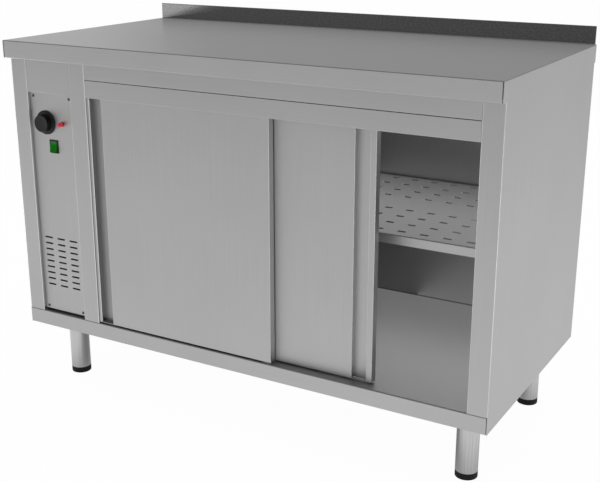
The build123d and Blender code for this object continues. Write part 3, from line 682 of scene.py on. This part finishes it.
# Thermostat knob: skirt, fluted grip and a shallow dish in its face
KNOB_AROUND = 240
KNOB_GRIP = 0.020
KNOB_SKIRT = 0.003
KNOB_AIR = 0.0006
KNOB_DISH = 0.0006
KNOB_EDGE = 0.0012
KNOB_CORNER = 0.0004
KNOB_ROUND = 0.0003
SKIRT_EDGE = 0.0013
GRIP_SHADE_FROM = 0.0010
FLUTES = 36
FLUTE_DEPTH = 0.0006
FLUTE_FROM = 0.002
FLUTE_SHORT = 0.001
SPINDLE = 0.003


def knob():
    """Turned knob. The dish is D (1 - k k) deep at the share k of the grip's radius."""
    low, high, centre = node_box("thermostat_knob")
    deep = high[1] - low[1]
    skirt_r = (high[0] - low[0]) / 2
    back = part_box("control_panel")[0][1] - KNOB_AIR - low[1]
    skirt = back - KNOB_SKIRT

    def flutes(r, h, t):
        """Radius less a cosine of the turn, over the straight of the grip."""
        side = (h > FLUTE_FROM) & (h < skirt - FLUTE_SHORT) & (r > KNOB_GRIP - KNOB_CORNER)
        return r - side * FLUTE_DEPTH * (0.5 + 0.5 * np.cos(FLUTES * t)), h

    # Depths of the painted shade on the side of the grip
    grip = (low[1] + GRIP_SHADE_FROM, low[1] + skirt)
    plastic = moulded("knob_plastic", BLACK, BLACK_ROUGH, shine=BLACK_SHINE, shaded=grip)
    profile = [
        (0, KNOB_DISH),
        *((KNOB_GRIP * k, KNOB_DISH * (1 - k**2)) for k in np.linspace(0.1, 0.9, 6)),
        (KNOB_GRIP - KNOB_EDGE, 0),
        (KNOB_GRIP - KNOB_CORNER, KNOB_ROUND),
        (KNOB_GRIP, KNOB_EDGE),
        (KNOB_GRIP, 2 * KNOB_EDGE),
        (KNOB_GRIP, skirt - KNOB_EDGE),
        (KNOB_GRIP, skirt - KNOB_CORNER),
        (KNOB_GRIP + KNOB_CORNER, skirt),
        (skirt_r - KNOB_EDGE, skirt + KNOB_ROUND),
        (skirt_r - KNOB_ROUND, skirt + 2 * KNOB_ROUND),
        (skirt_r, skirt + SKIRT_EDGE),
        (skirt_r, back),
        (SPINDLE, back),
        (SPINDLE, deep),
        (0, deep),
    ]
    face = (centre[0], low[1], centre[2])
    piece = turned(
        "fluted_knob",
        profile,
        KNOB_AROUND,
        face,
        BACKWARDS,
        "thermostat_knob",
        plastic,
        flutes,
    )
    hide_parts("thermostat_knob")


knob()

# Pilot lamp: domed lens
LENS_AROUND = 48
LENS_DOME = 0.003


def lamp_lens():
    """Lens with a dome of radius R sin a at the depth D (1 - cos a), for a from the pole to a right angle."""
    low, high, centre = node_box("pilot_lamp_lens")
    deep = high[1] - low[1]
    radius = (high[0] - low[0]) / 2
    angles = np.linspace(0.1, 1.0, 8) * math.pi / 2
    dome = [(radius * math.sin(a), LENS_DOME * (1 - math.cos(a))) for a in angles]
    profile = [(0, 0), *dome, (radius, deep), (0, deep)]
    face = (centre[0], low[1], centre[2])
    red = slot_finishes["red_lens"]
    piece = turned("lamp_lens", profile, LENS_AROUND, face, BACKWARDS, "cabinet", red)
    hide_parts("pilot_lamp_lens")


lamp_lens()

# Screws of the control panel: pan heads with a cross recess
SCREW_AROUND = 48
SCREW_R = 0.0034
SCREW_RISE = 0.0018
SCREW_SIDE = 0.0099
SCREW_LOW = 0.0068
SCREW_HIGH = 0.0095
RECESS_HALF = 0.0005
RECESS_REACH = 0.0021
RECESS_DEPTH = 0.0011


def cross_recess(r, h, t):
    """Height raised by the recess depth inside a cross of two bars."""
    a, b = np.abs(r * np.cos(t)), np.abs(r * np.sin(t))
    cross = (np.minimum(a, b) < RECESS_HALF) & (np.maximum(a, b) < RECESS_REACH)
    return r, h + cross * RECESS_DEPTH


def panel_screw(name, x, z):
    """Pan head: its height falls with the fourth power of the share of its radius."""
    dome = [(SCREW_R * k, SCREW_RISE * k**4) for k in np.linspace(0.1, 1.0, 12)]
    profile = [(0, RECESS_DEPTH), *dome, (0, SCREW_RISE)]
    head = (x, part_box("control_panel")[0][1] - SCREW_RISE, z)
    turned(name, profile, SCREW_AROUND, head, BACKWARDS, "cabinet", screw_zinc, cross_recess)


panel_low, panel_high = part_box("control_panel")
header_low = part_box("control_header")[0][2]
for side, x in (("left", panel_low[0] + SCREW_SIDE), ("right", panel_high[0] - SCREW_SIDE)):
    for level, z in (("low", panel_low[2] + SCREW_LOW), ("high", header_low - SCREW_HIGH)):
        panel_screw(f"panel_screw_{level}_{side}", x, z)


# Studio


def studio_world():
    """White to the camera. Metal sees grey walls, brighter at left and back, and the rest an even light.

    Each pair of numbers is the span of a direction's X, Y or Z over which one light gives way to another.
    """
    world = bpy.data.worlds.new("studio")
    bpy.context.scene.world = world
    tree = tree_of(world)
    x, y, z = split(tree, tree.node("ShaderNodeTexCoord", out="Generated"))
    left = (-1 * x).step(0.56, 0.67) * y.step(-0.1, 0.3)
    walls = WALL_FRONT + (WALL_BACK - WALL_FRONT) * y.step(-0.6, 0.4) + WALL_LEFT * left
    level = walls + (CEILING - walls) * z.step(0.3, 0.95)
    camera, glossy = ray_kinds(tree)
    strength = camera + (1 - camera) * (glossy * level + (1 - glossy) * AMBIENT)
    light = tree.node("ShaderNodeBackground", sockets={"Color": grey(1.0), "Strength": strength})
    tree.node("ShaderNodeOutputWorld", sockets={"Surface": light})


def floor_light(tree):
    """Floor as metal sees it, with pools of light and shades.

    The pools lie past both ends and far off to the left, the shades far off, at the front left, under and
    behind the table. Each pair of numbers is the places, in metres, between which one comes in or ends.
    """
    x, y = split(tree, object_place(tree))[:2]
    right = x.step(0.9, 1.4) * y.within((-1.5, -1.0), (-0.5, -0.2))
    left = (-1 * x).within((1.4, 1.9), (4.5, 5.5)) * y.within((-1.1, -0.7), (0.4, 0.8))
    far = (-1 * y).step(5.0, 7.0)
    far_left = y * POOL_FAR_SLANT - x
    wedge = far_left.step(3.41, 3.51) * POOL_FAR_CORE + far_left.step(2.8, 3.5) * (1 - POOL_FAR_CORE)
    pools = right * POOL_RIGHT + left * POOL_LEFT + far * wedge * POOL_FAR
    corner = (-1 * x).step(1.0, 1.8) * (-1 * y).step(1.2, 1.8)
    under = (1 - x.size().step(0.4, 0.75)) * (1 - y.size().step(0.15, 0.45))
    behind = y.step(1.8, 3.0)
    slanted = (y * SHADE_SLANT - x).step(-0.8, -0.4)
    dim = far * (SHADE_FAR + slanted * SHADE_SLANTED)
    shades = corner * SHADE_CORNER + under * SHADE_UNDER + dim + behind * SHADE_BEHIND
    return FLOOR_GLOSS + pools - shades


def studio_floor():
    """Pale floor, nearly white to the camera, with the table's soft shadow."""
    mesh = bpy.data.meshes.new("floor")
    ends = ((-1, -1), (1, -1), (1, 1), (-1, 1))
    corners = [(x * FLOOR_HALF, y * FLOOR_HALF, -FLOOR_DROP) for x, y in ends]
    mesh.from_pydata(corners, [], [(0, 1, 2, 3)])
    material, tree = new_material("floor")
    camera, glossy = ray_kinds(tree)
    matt = tree.node("ShaderNodeBsdfDiffuse", sockets={"Color": grey(FLOOR_TONE)})
    level = camera + glossy * floor_light(tree)
    white = tree.node("ShaderNodeEmission", sockets={"Color": grey(1.0), "Strength": level})
    share = camera * FLOOR_WHITE + glossy
    surface(tree, tree.node("ShaderNodeMixShader", sockets={0: share, 1: matt, 2: white}))
    mesh.materials.append(material)
    floor = bpy.data.objects.new("floor", mesh)
    bpy.context.collection.objects.link(floor)


def softbox():
    """Square lamp over the table."""
    lamp = bpy.data.lights.new("softbox", "AREA")
    lamp.shape = "SQUARE"
    lamp.size = LAMP_SIDE
    lamp.energy = LAMP_POWER
    holder = bpy.data.objects.new("softbox", lamp)
    holder.location = LAMP_AT
    holder.visible_glossy = False
    bpy.context.collection.objects.link(holder)


def fill_lamp(name, across, depths, heights, turn, radiance):
    """Lamp over a flat box, turned by quarters about X, of an even radiance: power = pi x area x radiance."""
    width, depth, height = (reach[1] - reach[0] for reach in (across, depths, heights))
    lamp = bpy.data.lights.new(name, "AREA")
    lamp.shape = "RECTANGLE"
    lamp.size = width
    lamp.size_y = depth + height
    lamp.energy = math.pi * width * (depth + height) * radiance
    holder = bpy.data.objects.new(name, lamp)
    holder.location = (sum(across) / 2, sum(depths) / 2, sum(heights) / 2)
    holder.rotation_euler = (turn * math.pi / 2, 0, 0)
    holder.visible_camera = False
    bpy.context.collection.objects.link(holder)


def cupboard_fills():
    """Soft light in the cupboard, close to its back wall, its doors, its shelf and its floor."""
    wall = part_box("back_panel")[0][1] - FILL_GAP
    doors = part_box("right_door")[1][1] + FILL_GAP
    for name, across, heights, radiance in WALL_FILLS:
        fill_lamp(f"fill_wall_{name}", across, (wall, wall), heights, -1, radiance)
    for name, across, heights, radiance in DOOR_FILLS:
        fill_lamp(f"fill_door_{name}", across, (doors, doors), heights, 1, radiance)
    for name, across, depths, radiance, node in LEVEL_FILLS:
        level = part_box(node)[1][2] + FILL_GAP / 2
        fill_lamp(f"fill_{name}", across, depths, (level, level), 2, radiance)


def photo_camera():
    """Camera at the photograph's place, tilted down by its elevation and turned by its azimuth."""
    data = bpy.data.cameras.new("camera")
    data.lens = CAMERA_LENS
    data.sensor_fit = "HORIZONTAL"
    data.sensor_width = SENSOR
    data.clip_end = CAMERA_REACH
    camera = bpy.data.objects.new("camera", data)
    camera.location = CAMERA_AT
    camera.rotation_euler = (math.pi / 2 - CAMERA_ELEVATION, 0, CAMERA_AZIMUTH)
    bpy.context.collection.objects.link(camera)
    bpy.context.scene.camera = camera


studio_world()
studio_floor()
softbox()
cupboard_fills()
photo_camera()
bpy.context.scene.view_settings.view_transform = "Standard"
